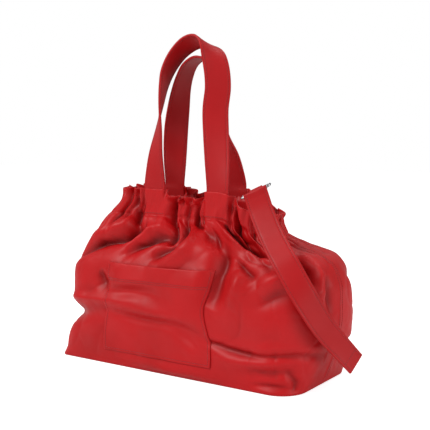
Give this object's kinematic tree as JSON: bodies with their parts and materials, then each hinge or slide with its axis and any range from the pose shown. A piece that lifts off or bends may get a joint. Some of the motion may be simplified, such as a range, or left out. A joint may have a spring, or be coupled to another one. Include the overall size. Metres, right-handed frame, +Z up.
{
  "type": "tote bag",
  "caption": "Soft leather tote bag with a gathered mouth, front patch pocket, two folding flat handles and a loose strap on a wire ring.",
  "frame": {"origin": "centre of the base on the floor, under the middle of the base leather", "axes": "+Z up, -Y towards the pocket side, +X towards the strap end (right seen from the pocket side)"},
  "size_m": [0.5115, 0.2162, 0.5223],
  "materials": {
    "bag_leather": "satin",
    "strap_leather": "satin",
    "lining_cloth": "matte",
    "base_board": "matte",
    "elastic": "matte",
    "ring_metal": "polished"
  },
  "bodies": {
    "bag_body": {"front_panel": "bag_leather", "back_panel": "bag_leather", "base_panel": "bag_leather", "base_board": "base_board", "base_lining": "lining_cloth", "front_lining": "lining_cloth", "back_lining": "lining_cloth", "front_casing": "bag_leather", "back_casing": "bag_leather", "front_facing": "bag_leather", "back_facing": "bag_leather", "gathering_elastic": "elastic", "pocket_panel": "bag_leather", "front_handle_ends": "strap_leather", "rear_handle_ends": "strap_leather", "ring_tab": "strap_leather"},
    "front_handle": {"front_handle_outer": "strap_leather", "front_handle_backing": "strap_leather"},
    "rear_handle": {"rear_handle_outer": "strap_leather", "rear_handle_backing": "strap_leather"},
    "ring": {"strap_ring": "ring_metal"},
    "strap": {"strap_outer": "strap_leather", "strap_backing": "strap_leather"}
  },
  "joints": [
    {"name": "front_handle_fold", "type": "hinge", "parent": "bag_body", "child": "front_handle", "pos_m": [0, -0.0414, 0.29], "axis": [1, 0, 0], "range_deg": [0, 110]},
    {"name": "rear_handle_fold", "type": "hinge", "parent": "bag_body", "child": "rear_handle", "pos_m": [0, 0.0414, 0.29], "axis": [-1, 0, 0], "range_deg": [0, 110]},
    {"name": "ring_swing", "type": "hinge", "parent": "bag_body", "child": "ring", "pos_m": [0.1158, -0.031, 0.286], "axis": [-0.8188, -0.3695, -0.4394], "range_deg": [0, 35]},
    {"name": "strap_swing", "type": "hinge", "parent": "ring", "child": "strap", "pos_m": [0.1226, -0.0461, 0.284], "axis": [-0.8188, -0.3695, -0.4394], "range_deg": [0, 60]}
  ]
}
